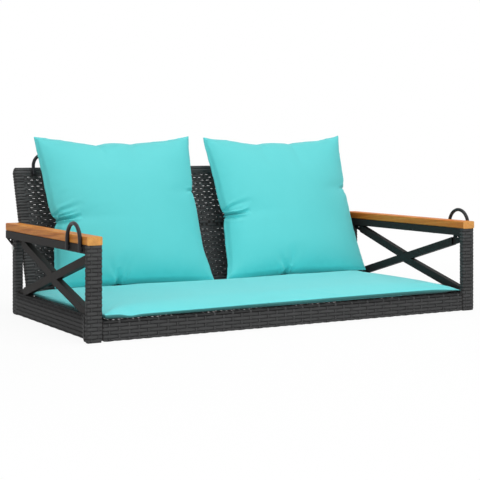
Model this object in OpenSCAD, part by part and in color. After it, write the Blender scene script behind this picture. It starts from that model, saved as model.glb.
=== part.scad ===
// Two-seat hanging porch swing seat: a steel tube frame woven over with resin wicker, wooden arm
// boards on steel arm tubes, crossed side braces, four rod loops for the ropes or chains, a seat
// pad and two loose back cushions.
//
// X runs along the bench, +Y runs from the front of the seat to its back, +Z is up. The origin is
// on the ground line under the middle of the seat. Every box below is written for the side at +X,
// with Y counted from the front face of the posts; on_side() mirrors it and from_front() moves it.

/* [Overall] */
// Width across the outer faces of the front posts
width = 1090; // [900:1:1400]
// Depth from the front face of the posts to the back of the backrest's top edge
depth = 596; // [500:1:740]
// Height of the top faces of the arm tubes, which carry the boards
arm_height = 214; // [190:1:260]
// Height of the backrest's front top edge
back_height = 372; // [320:1:460]
// Lean of the backrest from upright, in degrees
recline = 19; // [14:0.5:24]

/* [Posts] */
// Width of a woven front post, across the bench
post_w = 37; // [32:0.5:50]
// Depth of a woven front post
post_d = 17; // [14:0.5:26]
// Width of a woven rear post, across the bench
rear_w = 19; // [15:0.5:30]
// Depth of a woven rear post
rear_d = 29; // [22:0.5:40]
// Distance from a front post's outer face in to the rear post's outer face
rear_inset = 15.5; // [14:0.5:16]
// Height of the plastic foot under each post
foot_h = 3; // [2:0.5:6]

/* [Wicker] */
// Thickness of the woven resin strands round a tube
wrap = 2.5; // [1.5:0.1:3.5]
// Height of the underside of the weave above the ground line
weave_lift = 1; // [0.5:0.1:2]

/* [Arms] */
// Width of an arm tube, across the bench
arm_tube_w = 36; // [30:0.5:37]
// Height of an arm tube
arm_tube_h = 19; // [15:0.5:25]
// Overhang of the arm tube behind the rear post
arm_overhang = 4.5; // [2:0.5:20]
// Thickness of a wooden arm board
board_t = 19; // [14:0.5:28]
// Width of a wooden arm board
board_w = 36; // [30:0.5:60]
// Radius of the long edges of a board
board_r = 3; // [1:0.5:6]
// Height of the top of the woven side panel above the seat deck
panel_rise = 10; // [10:1:30]
// Thickness of the woven side panel
panel_t = 22; // [20:0.5:26]
// Height of each of the two tubes inside the side panel
rail_h = 15; // [12:0.5:15]
// Wall of the steel tubes
wall = 1.2; // [1:0.1:1.6]

/* [Side braces] */
// Height of a brace tube, across its length
brace_h = 20; // [14:0.5:26]
// Thickness of a brace tube, across the bench
brace_t = 15; // [10:0.5:17]
// How far each half of the short brace passes above or below the middle of the long one
brace_step = 3.5; // [0:0.5:6]
// Length of the corner tabs under the arm tube
tab_l = 35; // [30:1:60]
// Length of the corner tab on the side panel
low_tab_l = 50; // [45:1:70]
// Thickness of the corner tabs and arm ribs
tab_t = 4; // [3:0.5:6]
// Diameter of the hole in each corner tab
tab_hole_d = 6.5; // [5:0.5:8]
// Height of the rib between each rear post and the overhang of its arm tube
rib_h = 20; // [14:0.5:22]
// Diameter of the hole in each rib
rib_hole_d = 4; // [3:0.5:5]

/* [Hanging loops] */
// Diameter of the loop rod
rod_d = 9; // [7:0.5:12]
// Distance between the centres of a loop's two legs
loop_span = 75; // [60:1:90]
// Height of the middle of a front loop's arch above the arm tube
front_loop_rise = 8; // [6:1:30]
// Distance from the front face of the posts back to the middle of a front loop
front_loop_y = 68; // [60:1:120]
// Distance from an end of the backrest in to the middle of a rear loop
rear_loop_in = 87.5; // [70:0.5:200]
// How far a rear loop's legs run down the front of the backrest
rear_leg = 20; // [18:1:26]
// Diameter of the weld at the foot of each loop leg
weld_d = 13; // [10:0.5:16]

/* [Seat] */
// Height of the top of the woven seat deck
deck_top = 48; // [45:1:54]
// Thickness of the woven seat deck
deck_t = 4; // [3:0.5:5]
// Gap between the seat and each arm
seat_gap = 0.5; // [0.3:0.1:1]
// Side of the square tubes at the front of the seat
front_tube = 16; // [12:0.5:16]
// Side of the square tubes under the seat deck
seat_tube = 20; // [16:0.5:22]
// Distance between the middles of the tubes under the deck
bearer_pitch = 250; // [200:1:300]

/* [Backrest] */
// Thickness of the woven backrest
back_t = 20; // [16:0.5:26]
// Gap between the backrest and each rear post
back_gap = 3; // [1:0.5:6]
// Distance from the top edge down to the middle of the cross tube, along the backrest
mid_tube_drop = 165; // [120:1:200]
// Gap between the seat deck and the lowest edge of the backrest
back_lift = 3; // [2:0.5:6]

/* [Fixings] */
// Diameter of the frame bolts
bolt_d = 6; // [5:0.5:8]
// Extra diameter of the holes that the bolts pass through
bolt_play = 0.6; // [0.3:0.1:1]
// Distance from the arm tubes down to the bolts that hold the backrest to the rear posts
back_bolt_drop = 25; // [14:1:50]
// Distance from an end of the seat in to the backrest's outer feet
back_foot_in = 100; // [60:1:160]
// Diameter of the arm board screws
screw_d = 4; // [3:0.5:5]

/* [Cushions] */
// Gap between the back edge of the seat pad and the backrest
pad_back_gap = 10; // [4:1:30]
// Thickness of the seat pad at its sides
pad_edge = 16.5; // [12:0.5:30]
// Height of the crown of the seat pad above its side edges
pad_crown = 9; // [5:0.5:20]
// Distance from a back cushion's outer corners to the end of the backrest
pillow_side = 32.5; // [10:0.5:60]
// Height of a back cushion, along the backrest
pillow_h = 406; // [300:1:430]
// Thickness of a back cushion
pillow_t = 128; // [90:1:140]
// Gap between the two back cushions at their corners
pillow_gap = 46; // [20:1:60]
// How far the middle of each side of a back cushion is drawn in
pillow_draw = 25; // [10:1:40]
// Gap between a cushion and what it rests on or beside
soft_gap = 0.5; // [0.3:0.1:2]

/* [Hidden] */

$fn = 48;
eps = 0.01;
left = -1;
right = 1;

wicker_color = "#2e3033";
steel_color = "#22282b";
wood_color = "#cd8c47";
plastic_color = "#191a1b";
zinc_color = "#9da1a4";
fabric_color = "#70dcdb";

half = width / 2;
front_y = -depth / 2;
inner_x = half - post_w;
bolt_hole_d = bolt_d + bolt_play;
panel_top = deck_top + panel_rise;

// Backrest: its top back edge, and the height to Y relation of a line drawn in it
back_top_z = back_height - back_t * sin(recline);
back_len = (back_top_z - deck_top - back_lift) / cos(recline);
back_tube = back_t - 2 * wrap;
function back_y(z, inward) = depth - (back_top_z - z) * tan(recline) - inward / cos(recline);

// Rear posts stand where the bolt height meets the middle of the backrest's side tubes
arm_under = arm_height - arm_tube_h;
back_bolt_z = arm_under - back_bolt_drop;
bolt_y = back_y(back_bolt_z, back_t / 2);
rear_y = bolt_y - rear_d / 2;
rear_x = half - rear_inset - rear_w;
rear_mid_x = rear_x + rear_w / 2;
arm_end = rear_y + rear_d + arm_overhang;
cap_t = 2;
cap_plug = 12;
foot_plug = 10;

// Each box is a pair of corners, lowest and highest
function shrink(box, by) = [box[0] + by, box[1] - by];
front_wrap_box = [[inner_x, 0, weave_lift], [half, post_d, arm_height]];
front_post_box = [[inner_x + wrap, wrap, foot_h], [half - wrap, post_d - wrap, arm_height]];
rear_wrap_box = [[rear_x, rear_y, weave_lift], [rear_x + rear_w, rear_y + rear_d, arm_under]];
rear_post_box = [[rear_x + wrap, rear_y + wrap, foot_h],
                 [rear_x + rear_w - wrap, rear_y + rear_d - wrap, arm_under]];
arm_tube_box = [[half - arm_tube_w, post_d - wrap, arm_under], [half, arm_end - cap_t, arm_height]];
panel_box = [[inner_x, post_d, weave_lift], [inner_x + panel_t, rear_y, panel_top]];
rail_x = inner_x + wrap;
rail_w = panel_t - 2 * wrap;
upper_rail_z = panel_top - wrap - rail_h;
lower_rail_z = weave_lift + wrap;
function rail_box(z) = [[rail_x, post_d - wrap, z], [rail_x + rail_w, rear_y + wrap, z + rail_h]];

// Side braces, as [y, z] points on their middle lines. The long one runs from the bottom of the
// back to the top of the front, and the short ones run from the other two corners to either side
// of its middle. Where they end on the posts, the lines lie this far from the panel's top and the
// arm tube's underside.
brace_sink = 8;
brace_drop = 6.5;
brace_rise = 2;
brace_low_z = panel_top - brace_sink;
long_front = [post_d, arm_under - brace_drop];
long_rear = [rear_y, brace_low_z];
cross = (long_front + long_rear) / 2;
short_front = [[post_d, brace_low_z], cross - [0, brace_step]];
short_rear = [cross + [0, brace_step], [rear_y, arm_under + brace_rise]];
brace_x0 = rear_mid_x - brace_t / 2;
brace_x1 = rear_mid_x + brace_t / 2;
function height_at(y, from, to) = from.y + (to.y - from.y) * (y - from.x) / (to.x - from.x);
function half_height(from, to) = brace_h / 2 * norm(to - from) / (to.x - from.x);
top_hole_in = 19;
low_hole_in = 38;
hole_margin = 2.3;

// Seat frame
seat_half = inner_x - seat_gap;
apron_d = front_tube + wrap;
upper_tube_z = deck_top - wrap - front_tube;
lower_tube_z = weave_lift + wrap;
seat_tube_top = deck_top - deck_t;
seat_tube_z = seat_tube_top - seat_tube;
seat_rear_y = back_y(seat_tube_top, back_t / 2) - seat_tube / 2;
deck_end = seat_rear_y + seat_tube;
foot_xs = [back_foot_in - seat_half, 0, seat_half - back_foot_in];
foot_w = 30;
front_fixing_y = 70;
rear_fixing_in = 40;

// The seat bolts sit midway in the height that a seat tube shares with the space between the rails
fixing_z = (max(seat_tube_z, lower_rail_z + rail_h) + min(seat_tube_top, upper_rail_z)) / 2;
fixing_ys = [front_fixing_y, seat_rear_y - rear_fixing_in];

// Cushions. A seam stands at pad_seam of the height of the pad's sides, and a cushion's roundness
// is the power in swell().
pad_side_gap = 2.5;
pad_draw = 7;
pad_seam = 0.35;
pad_side_round = 0.12;
pad_top_round = 0.5;
pillow_round = 0.42;
front_share = 0.53;
pad_bottom = deck_top + soft_gap;
pad_top = pad_bottom + pad_edge + pad_crown;
pad_front = 4;
pad_half = seat_half - pad_side_gap;
pad_depth = back_y(pad_bottom, back_t) - pad_back_gap - pad_front;
pillow_front = pillow_t * front_share;
pillow_rear = pillow_t - pillow_front;
pillow_mid = back_t + soft_gap + pillow_rear;
back_half = rear_x - back_gap;
pillow_w = back_half - pillow_side - pillow_gap / 2;
pillow_x = (pillow_gap + pillow_w) / 2;

// The inner corners of the back cushions stand on the pad
pillow_rest_z = pad_top_z(pillow_gap / 2 / pad_half,
                          2 * (back_y(pad_top, pillow_mid) - pad_front) / pad_depth - 1);
pillow_low = (pillow_rest_z + soft_gap - back_top_z - pillow_mid * sin(recline)) / cos(recline);
rear_loop_x = back_half - rear_loop_in;

// ---- Helpers ----

module from_front() translate([0, front_y, 0]) children();

module on_side(side) mirror([side < 0 ? 1 : 0, 0, 0]) from_front() children();

module solid(box) translate(box[0]) cube(box[1] - box[0]);

// Square or rectangular tube, open at both ends along one axis (0, 1 or 2)
module tube(box, along) {
  inset = [for (axis = [0:2]) axis == along ? -1 : wall];
  difference() {
    solid(box);
    solid(shrink(box, inset));
  }
}

// Cylinder along X between two places
module pin_x(x0, x1, y, z, d) translate([x0, y, z]) rotate([0, 90, 0]) cylinder(d = d, h = x1 - x0);

// The backrest's own space: Y is 0 on its back face and negative forwards, Z is 0 at its top edge
module on_back() from_front() translate([0, depth, back_top_z]) rotate([-recline, 0, 0]) children();

// Straight bar in the plane of an arm, between two [y, z] points and well past both
module bar(from, to, h, x0, x1) {
  run = to - from;
  over = 3 * brace_h;
  translate([x0, from.x, from.y]) rotate([atan2(run.y, run.x), 0, 0])
    translate([0, -over, -h / 2]) cube([x1 - x0, norm(run) + 2 * over, h]);
}

module tube_bar(from, to) difference() {
  bar(from, to, brace_h, brace_x0, brace_x1);
  bar(from, to, brace_h - 2 * wall, brace_x0 + wall, brace_x1 - wall);
}

// ---- Posts, feet and arms ----

module front_post(side) color(steel_color) on_side(side) tube(front_post_box, 2);

module rear_post(side) color(steel_color) on_side(side) difference() {
  tube(rear_post_box, 2);
  back_bolt_hole(bolt_hole_d);
}

module front_wrap(side) color(wicker_color) on_side(side) difference() {
  solid(front_wrap_box);
  solid([front_post_box[0] - [0, 0, foot_h + eps], front_post_box[1] + [0, 0, eps]]);
  solid(arm_tube_box);
  solid(rail_box(upper_rail_z));
  solid(rail_box(lower_rail_z));
}

module rear_wrap(side) color(wicker_color) on_side(side) difference() {
  solid(rear_wrap_box);
  solid([rear_post_box[0] - [0, 0, foot_h + eps], rear_post_box[1] + [0, 0, eps]]);
  solid(rail_box(upper_rail_z));
  solid(rail_box(lower_rail_z));
  back_bolt_hole(bolt_hole_d);
}

// A foot fills the mouth of its post and lies level with the ground line
module foot(post_box, side) color(plastic_color) on_side(side) {
  solid([[post_box[0].x, post_box[0].y, 0], [post_box[1].x, post_box[1].y, foot_h]]);
  plug = shrink(post_box, [wall, wall, 0]);
  solid([[plug[0].x, plug[0].y, foot_h - eps], [plug[1].x, plug[1].y, foot_h + foot_plug]]);
}

module arm_tube(side) color(steel_color) on_side(side) difference() {
  tube(arm_tube_box, 1);
  for (y = screw_ys) board_screw_hole(y, screw_d + screw_play);
}

module arm_tube_caps() color(plastic_color) for (side = [left, right]) on_side(side) {
  solid([[arm_tube_box[0].x, arm_end - cap_t, arm_under], [half, arm_end, arm_height]]);
  solid([[arm_tube_box[0].x + wall, arm_end - cap_t - cap_plug, arm_under + wall],
         [half - wall, arm_end - cap_t + eps, arm_height - wall]]);
}

module board_profile() translate([half - board_w, arm_height]) {
  translate([board_r, 0]) square([board_w - 2 * board_r, board_t]);
  translate([0, board_r]) square([board_w, board_t - 2 * board_r]);
  for (x = [board_r, board_w - board_r], z = [board_r, board_t - board_r])
    translate([x, z]) circle(r = board_r);
}

module arm_board(side) color(wood_color) on_side(side) difference() {
  translate([0, arm_end, 0]) rotate([90, 0, 0]) linear_extrude(height = arm_end) board_profile();
  for (y = screw_ys) board_screw_hole(y, screw_d);
}

// Screws come up through the arm tube into the board
screw_bite = 12;
screw_play = 0.4;
screw_head_t = 2.2;
rear_screw_in = 60;
screw_ys = [front_loop_y + loop_span, arm_end / 2, arm_end - rear_screw_in];

module board_screw_hole(y, d)
  translate([half - arm_tube_w / 2, y, arm_under - 1]) cylinder(d = d, h = arm_tube_h + 1 + screw_bite);

module arm_board_screws() color(zinc_color) for (side = [left, right], y = screw_ys) on_side(side)
  translate([half - arm_tube_w / 2, y, arm_under]) {
    cylinder(d = screw_d, h = arm_tube_h + screw_bite);
    translate([0, 0, -screw_head_t]) cylinder(d = 2 * screw_d, h = screw_head_t);
  }

module side_rail(z, side) color(steel_color) on_side(side) tube(rail_box(z), 1);

module side_weave(side) color(wicker_color) on_side(side) difference() {
  solid(panel_box);
  solid(rail_box(upper_rail_z));
  solid(rail_box(lower_rail_z));
  for (y = fixing_ys) {
    solid(fixing_plate_box(y));
    pin_x(rail_x, rail_x + rail_w, y, fixing_z, nut_d);
    pin_x(inner_x - 1, rail_x + 1, y, fixing_z, bolt_hole_d);
  }
  solid([[rear_mid_x - tab_t / 2, rear_y - low_tab_l, panel_top - wrap],
         [rear_mid_x + tab_t / 2, rear_y + 1, panel_top + 1]]);
}

// ---- Side braces and corner tabs ----

// The window of an arm between its posts, its side panel and its arm tube, less the corner tabs
module brace_window() difference() {
  solid([[brace_x0 - 1, post_d, panel_top], [brace_x1 + 1, rear_y, arm_under]]);
  solid([[brace_x0 - 2, 0, cross.y], [brace_x1 + 2, post_d + tab_l, arm_height]]);
  solid([[brace_x0 - 2, rear_y - tab_l, cross.y], [brace_x1 + 2, arm_end, arm_height]]);
  solid([[brace_x0 - 2, rear_y - low_tab_l, 0], [brace_x1 + 2, arm_end, cross.y]]);
}

module long_brace(side) color(steel_color) on_side(side) intersection() {
  tube_bar(long_front, long_rear);
  brace_window();
}

module short_braces(side) color(steel_color) on_side(side) difference() {
  intersection() {
    union() {
      half_brace(short_front, 0, cross.x);
      half_brace(short_rear, cross.x, rear_y);
    }
    brace_window();
  }
  bar(long_front, long_rear, brace_h, brace_x0 - 1, brace_x1 + 1);
}

module half_brace(ends, y0, y1) intersection() {
  tube_bar(ends[0], ends[1]);
  solid([[brace_x0, y0, 0], [brace_x1, y1, arm_height]]);
}

// Each tab fills a corner, is as deep as the brace that ends on it, and has one hole
module corner_tabs(side) color(steel_color) on_side(side) {
  hole_r = tab_hole_d / 2;
  top_z = arm_under - hole_margin - hole_r;
  low_z = panel_top - wrap;
  long_half = half_height(long_front, long_rear);
  short_half = half_height(short_rear[0], short_rear[1]);
  front = post_d + tab_l;
  back = rear_y - tab_l;
  low = rear_y - low_tab_l;
  holed_plate([[post_d, arm_under], [front, arm_under],
               [front, height_at(front, long_front, long_rear) - long_half],
               [post_d, long_front.y - long_half]], post_d + top_hole_in, top_z);
  holed_plate([[rear_y, arm_under], [back, arm_under],
               [back, height_at(back, short_rear[0], short_rear[1]) - short_half],
               [rear_y, short_rear[1].y - short_half]], rear_y - top_hole_in, top_z);
  holed_plate([[rear_y, low_z], [low, low_z],
               [low, height_at(low, long_front, long_rear) + long_half],
               [rear_y, long_rear.y + long_half]],
              rear_y - low_hole_in, low_z + 2 * hole_margin + hole_r);
}

module holed_plate(points, hole_y, hole_z) difference() {
  translate([rear_mid_x - tab_t / 2, 0, 0])
    rotate([90, 0, 90]) linear_extrude(height = tab_t) polygon(points);
  pin_x(rear_mid_x - tab_t, rear_mid_x + tab_t, hole_y, hole_z, tab_hole_d);
}

// Triangular rib flush with the back of the rear post, its hole midway between its three edges
module arm_rib(side) color(steel_color) on_side(side) {
  post_x = rear_x + rear_w;
  run = half - post_x;
  hole_in = (run + rib_h - norm([run, rib_h])) / 2;
  translate([post_x, rear_y + rear_d, arm_under]) rotate([90, 0, 0])
    linear_extrude(height = tab_t) difference() {
      polygon([[0, 0], [0, -rib_h], [run, 0]]);
      translate([hole_in, -hole_in]) circle(d = rib_hole_d);
    }
}

// ---- Hanging loops ----

// Arch of rod with two legs, in the XZ plane, with the arch's centre at the origin and its welds
// reaching one rod radius towards +Y
module rod_loop(leg) {
  rotate([90, 0, 0]) rotate_extrude(angle = 180) translate([loop_span / 2, 0]) circle(d = rod_d);
  for (x = [-loop_span / 2, loop_span / 2]) {
    translate([x, 0, -leg]) cylinder(d = rod_d, h = leg + eps);
    translate([x, 0, -leg + weld_d / 2]) rotate([-90, 0, 0]) cylinder(d = weld_d, h = weld_reach);
  }
}

weld_reach = rod_d / 2;
front_weld_lift = 3;
front_loop_leg = front_loop_rise + arm_tube_h - front_weld_lift;

module front_loop(side) color(steel_color) on_side(side)
  translate([half + rod_d / 2, front_loop_y, arm_height + front_loop_rise])
    rotate([0, 0, 90]) rod_loop(front_loop_leg);

// A rear loop's welds go on through the weave to the top tube
module rear_loop(side) color(steel_color) on_back()
  translate([side * rear_loop_x, -back_t - rod_d / 2, 0]) {
    rod_loop(rear_leg);
    rear_welds(rod_d / 2 + wrap);
  }

module rear_welds(reach)
  for (x = [-loop_span / 2, loop_span / 2]) translate([x, 0, -rear_leg + weld_d / 2])
    rotate([-90, 0, 0]) cylinder(d = weld_d, h = reach);

// ---- Seat ----

module apron_tube(z) color(steel_color) from_front()
  tube([[-seat_half, wrap, z], [seat_half, apron_d, z + front_tube]], 0);

// The weave covers the front, the top and the underside of the two apron tubes
module front_apron() color(wicker_color) from_front() difference() {
  solid([[-seat_half, 0, weave_lift], [seat_half, apron_d, deck_top]]);
  solid([[-width, wrap, lower_tube_z], [width, depth, upper_tube_z + front_tube]]);
}

module seat_side_tube(side) color(steel_color) on_side(side) difference() {
  tube([[seat_half - seat_tube, apron_d, seat_tube_z], [seat_half, deck_end, seat_tube_top]], 1);
  for (y = fixing_ys) pin_x(seat_half - seat_tube - 1, seat_half + 1, y, fixing_z, bolt_hole_d);
}

module seat_rear_tube() color(steel_color) from_front() difference() {
  tube([[-seat_half + seat_tube, seat_rear_y, seat_tube_z],
        [seat_half - seat_tube, deck_end, seat_tube_top]], 0);
  for (x = foot_xs) translate([x, seat_rear_y + seat_tube / 2, 0])
    cylinder(d = bolt_hole_d, h = seat_tube_top + 1);
}

module seat_bearer(x) color(steel_color) from_front()
  tube([[x - seat_tube / 2, apron_d, seat_tube_z], [x + seat_tube / 2, seat_rear_y, seat_tube_top]], 1);

module seat_deck() color(wicker_color) from_front() difference() {
  solid([[-seat_half, apron_d, seat_tube_top], [seat_half, deck_end, deck_top]]);
  for (x = foot_xs) solid([[x - foot_w / 2 - seat_gap, seat_rear_y - foot_room, 0],
                           [x + foot_w / 2 + seat_gap, deck_end + 1, deck_top + 1]]);
}

foot_room = 10;
plate_half = 15;
plate_t = 4;
nut_d = 12;
nut_t = 6;
function fixing_plate_box(y) = [[rail_x, y - plate_half, lower_rail_z + rail_h],
                                [rail_x + plate_t, y + plate_half, upper_rail_z]];

// Plates welded between the two side rails, each with a nut that takes a seat bolt
module seat_fixing_plates() color(steel_color)
  for (side = [left, right], y = fixing_ys) on_side(side) difference() {
    union() {
      solid(fixing_plate_box(y));
      pin_x(rail_x, rail_x + plate_t + nut_t, y, fixing_z, nut_d);
    }
    pin_x(rail_x - 1, rail_x + plate_t + nut_t + 1, y, fixing_z, bolt_d);
  }

bolt_head_d = 2 * bolt_d;
bolt_head_t = 4;

module seat_bolts() color(zinc_color) for (side = [left, right], y = fixing_ys) on_side(side) {
  pin_x(seat_half - seat_tube, rail_x + plate_t + nut_t, y, fixing_z, bolt_d);
  pin_x(seat_half - seat_tube - bolt_head_t, seat_half - seat_tube, y, fixing_z, bolt_head_d);
}

// ---- Backrest ----

tube_near = -wrap;
tube_far = -wrap - back_tube;
top_tube_box = [[-back_half + wrap, tube_far, tube_far], [back_half - wrap, tube_near, tube_near]];
bottom_tube_z = -back_len + wrap;
bottom_tube_box = [[-back_half + wrap, tube_far, bottom_tube_z],
                   [back_half - wrap, tube_near, bottom_tube_z + back_tube]];
side_tube_box = [[back_half - wrap - back_tube, tube_far, bottom_tube_z + back_tube],
                 [back_half - wrap, tube_near, tube_far]];
middle_tube_box = [[-side_tube_box[0].x, tube_far, -mid_tube_drop - back_tube / 2],
                   [side_tube_box[0].x, tube_near, -mid_tube_drop + back_tube / 2]];

module backrest_cross_tube(box) color(steel_color) on_back() tube(box, 0);

module backrest_side_tube(side) color(steel_color) difference() {
  mirror([side < 0 ? 1 : 0, 0, 0]) on_back() tube(side_tube_box, 2);
  on_side(side) back_bolt_hole(bolt_hole_d);
}

// A sheet of weave over the front of the tubes, turned round the four outer tubes
module backrest_weave() color(wicker_color) difference() {
  on_back() difference() {
    solid([[-back_half, -back_t, -back_len], [back_half, 0, 0]]);
    solid(top_tube_box);
    solid(bottom_tube_box);
    for (side = [left, right]) mirror([side < 0 ? 1 : 0, 0, 0]) solid(side_tube_box);
    translate([-side_tube_box[0].x + wrap, tube_far, bottom_tube_z + back_tube + wrap])
      cube([2 * (side_tube_box[0].x - wrap), back_t, back_len - 2 * back_t]);
    solid([middle_tube_box[0], middle_tube_box[1] + [0, back_t, 0]]);
    for (side = [left, right]) translate([side * rear_loop_x, -back_t - eps, 0])
      rear_welds(wrap + eps);
  }
  for (side = [left, right]) on_side(side) back_bolt_hole(bolt_hole_d);
  backrest_foot_blocks();
}

// Feet run on from the bottom tube and stand on the seat's rear tube
module backrest_foot_blocks() intersection() {
  on_back() for (x = foot_xs)
    solid([[x - foot_w / 2, tube_far, -depth], [x + foot_w / 2, tube_near, bottom_tube_z]]);
  from_front() solid([[-half, 0, seat_tube_top], [half, depth, arm_height]]);
}

foot_bite = 8;

module foot_bolt_holes(d) from_front() for (x = foot_xs)
  translate([x, seat_rear_y + seat_tube / 2, seat_tube_top - 1]) cylinder(d = d, h = foot_bite + 1);

module backrest_feet() color(steel_color) difference() {
  backrest_foot_blocks();
  foot_bolt_holes(bolt_d);
}

module back_bolt_hole(d) pin_x(side_tube_box[0].x - 5, half, bolt_y, back_bolt_z, d);

module backrest_bolts() color(zinc_color) {
  for (side = [left, right]) on_side(side) {
    pin_x(side_tube_box[0].x, rear_x + rear_w, bolt_y, back_bolt_z, bolt_d);
    pin_x(rear_x + rear_w, rear_x + rear_w + bolt_head_t, bolt_y, back_bolt_z, bolt_head_d);
  }
  from_front() for (x = foot_xs) translate([x, seat_rear_y + seat_tube / 2, 0]) {
    translate([0, 0, seat_tube_z]) cylinder(d = bolt_d, h = seat_tube + foot_bite);
    translate([0, 0, seat_tube_z - bolt_head_t]) cylinder(d = bolt_head_d, h = bolt_head_t);
  }
}

// ---- Cushions ----

// Closed soft solid from two square grids of (n + 1) by (n + 1) points, n being even: near is the
// front or top, far is the back or underside, and they share near's points all round the rim.
// Each cell's diagonal runs towards the middle of the grid, so every corner cell keeps its depth.
module soft_body(near, far, n) polyhedron(
  points = concat(near, far),
  faces = [for (i = [0:n - 1], j = [0:n - 1], second = [false, true], behind = [false, true])
    let (a = i * (n + 1) + j, b = a + 1, c = a + n + 1, d = c + 1,
         inward = (i < n / 2) == (j < n / 2),
         tri = inward ? (second ? [a, d, b] : [a, c, d]) : (second ? [b, c, d] : [a, c, b]))
    behind ? [for (k = [2, 1, 0]) far_point(tri[k], n)] : tri],
  convexity = 4);

function far_point(k, n) = let (i = floor(k / (n + 1)), j = k % (n + 1))
  i == 0 || j == 0 || i == n || j == n ? k : k + (n + 1) * (n + 1);

// Places from -1 to 1, closer together near both ends
function spread(k, n) = sin(90 * (2 * k / n - 1));

// 1 in the middle and 0 all round the rim; a low power keeps it full until close to the rim
function swell(u, v, power) = pow(max(0, (1 - u * u) * (1 - v * v)), power);

pillow_n = 22;
function pillow_point(u, v, depth_of) = [
  u * (pillow_w / 2 - pillow_draw * (1 - v * v)),
  depth_of * swell(u, v, pillow_round),
  v * (pillow_h / 2 - pillow_draw * (1 - u * u))];

module back_cushion(side) color(fabric_color) on_back()
  translate([side * pillow_x, -pillow_mid, pillow_low + pillow_h / 2])
    soft_body(
      [for (i = [0:pillow_n], j = [0:pillow_n])
        pillow_point(spread(i, pillow_n), spread(j, pillow_n), -pillow_front)],
      [for (i = [0:pillow_n], j = [0:pillow_n])
        pillow_point(spread(i, pillow_n), spread(j, pillow_n), pillow_rear)],
      pillow_n);

pad_n = 22;
function pad_point(u, v, z) = [
  u * (pad_half - pad_draw * (1 - v * v)),
  pad_front + pad_depth / 2 + v * (pad_depth / 2 - pad_draw * (1 - u * u)),
  z];

// Height of the pad's top or underside: the two meet in a seam part way up the side
function pad_top_z(u, v) = pad_bottom + pad_edge * pad_seam
  + pad_edge * (1 - pad_seam) * swell(u, v, pad_side_round)
  + pad_crown * swell(u, v, pad_top_round);
function pad_under_z(u, v) = pad_bottom + pad_edge * pad_seam * (1 - swell(u, v, pad_side_round));

module seat_cushion() color(fabric_color) from_front()
  soft_body(
    [for (i = [0:pad_n], j = [0:pad_n])
      let (u = spread(i, pad_n), v = spread(j, pad_n)) pad_point(u, v, pad_top_z(u, v))],
    [for (i = [0:pad_n], j = [0:pad_n])
      let (u = spread(i, pad_n), v = spread(j, pad_n)) pad_point(u, v, pad_under_z(u, v))],
    pad_n);

// ---- One line for each node ----

front_post(left);  // left_front_post
front_post(right);  // right_front_post
rear_post(left);  // left_rear_post
rear_post(right);  // right_rear_post
front_wrap(left);  // left_front_wrap
front_wrap(right);  // right_front_wrap
rear_wrap(left);  // left_rear_wrap
rear_wrap(right);  // right_rear_wrap
foot(front_post_box, left);  // left_front_foot
foot(front_post_box, right);  // right_front_foot
foot(rear_post_box, left);  // left_rear_foot
foot(rear_post_box, right);  // right_rear_foot
arm_tube(left);  // left_arm_tube
arm_tube(right);  // right_arm_tube
arm_tube_caps();
arm_board(left);  // left_arm_board
arm_board(right);  // right_arm_board
arm_board_screws();
side_rail(upper_rail_z, left);  // left_upper_rail
side_rail(upper_rail_z, right);  // right_upper_rail
side_rail(lower_rail_z, left);  // left_lower_rail
side_rail(lower_rail_z, right);  // right_lower_rail
side_weave(left);  // left_side_weave
side_weave(right);  // right_side_weave
long_brace(left);  // left_long_brace
long_brace(right);  // right_long_brace
short_braces(left);  // left_short_braces
short_braces(right);  // right_short_braces
corner_tabs(left);  // left_corner_tabs
corner_tabs(right);  // right_corner_tabs
arm_rib(left);  // left_arm_rib
arm_rib(right);  // right_arm_rib
front_loop(left);  // left_front_loop
front_loop(right);  // right_front_loop
rear_loop(left);  // left_rear_loop
rear_loop(right);  // right_rear_loop
apron_tube(upper_tube_z);  // apron_upper_tube
apron_tube(lower_tube_z);  // apron_lower_tube
front_apron();
seat_deck();
seat_side_tube(left);  // seat_left_tube
seat_side_tube(right);  // seat_right_tube
seat_rear_tube();
seat_bearer(-bearer_pitch);  // seat_left_bearer
seat_bearer(0);  // seat_middle_bearer
seat_bearer(bearer_pitch);  // seat_right_bearer
seat_fixing_plates();
seat_bolts();
backrest_cross_tube(top_tube_box);  // backrest_top_tube
backrest_cross_tube(bottom_tube_box);  // backrest_bottom_tube
backrest_side_tube(left);  // backrest_left_tube
backrest_side_tube(right);  // backrest_right_tube
backrest_cross_tube(middle_tube_box);  // backrest_middle_tube
backrest_weave();
backrest_feet();
backrest_bolts();
seat_cushion();
back_cushion(left);  // left_back_cushion
back_cushion(right);  // right_back_cushion
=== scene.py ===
"""Looks of the porch swing seat: resin weave on black steel, oiled arm boards, loose cushions."""
import math

import bmesh
import bpy
import numpy as np
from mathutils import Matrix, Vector
from mathutils.bvhtree import BVHTree


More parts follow.
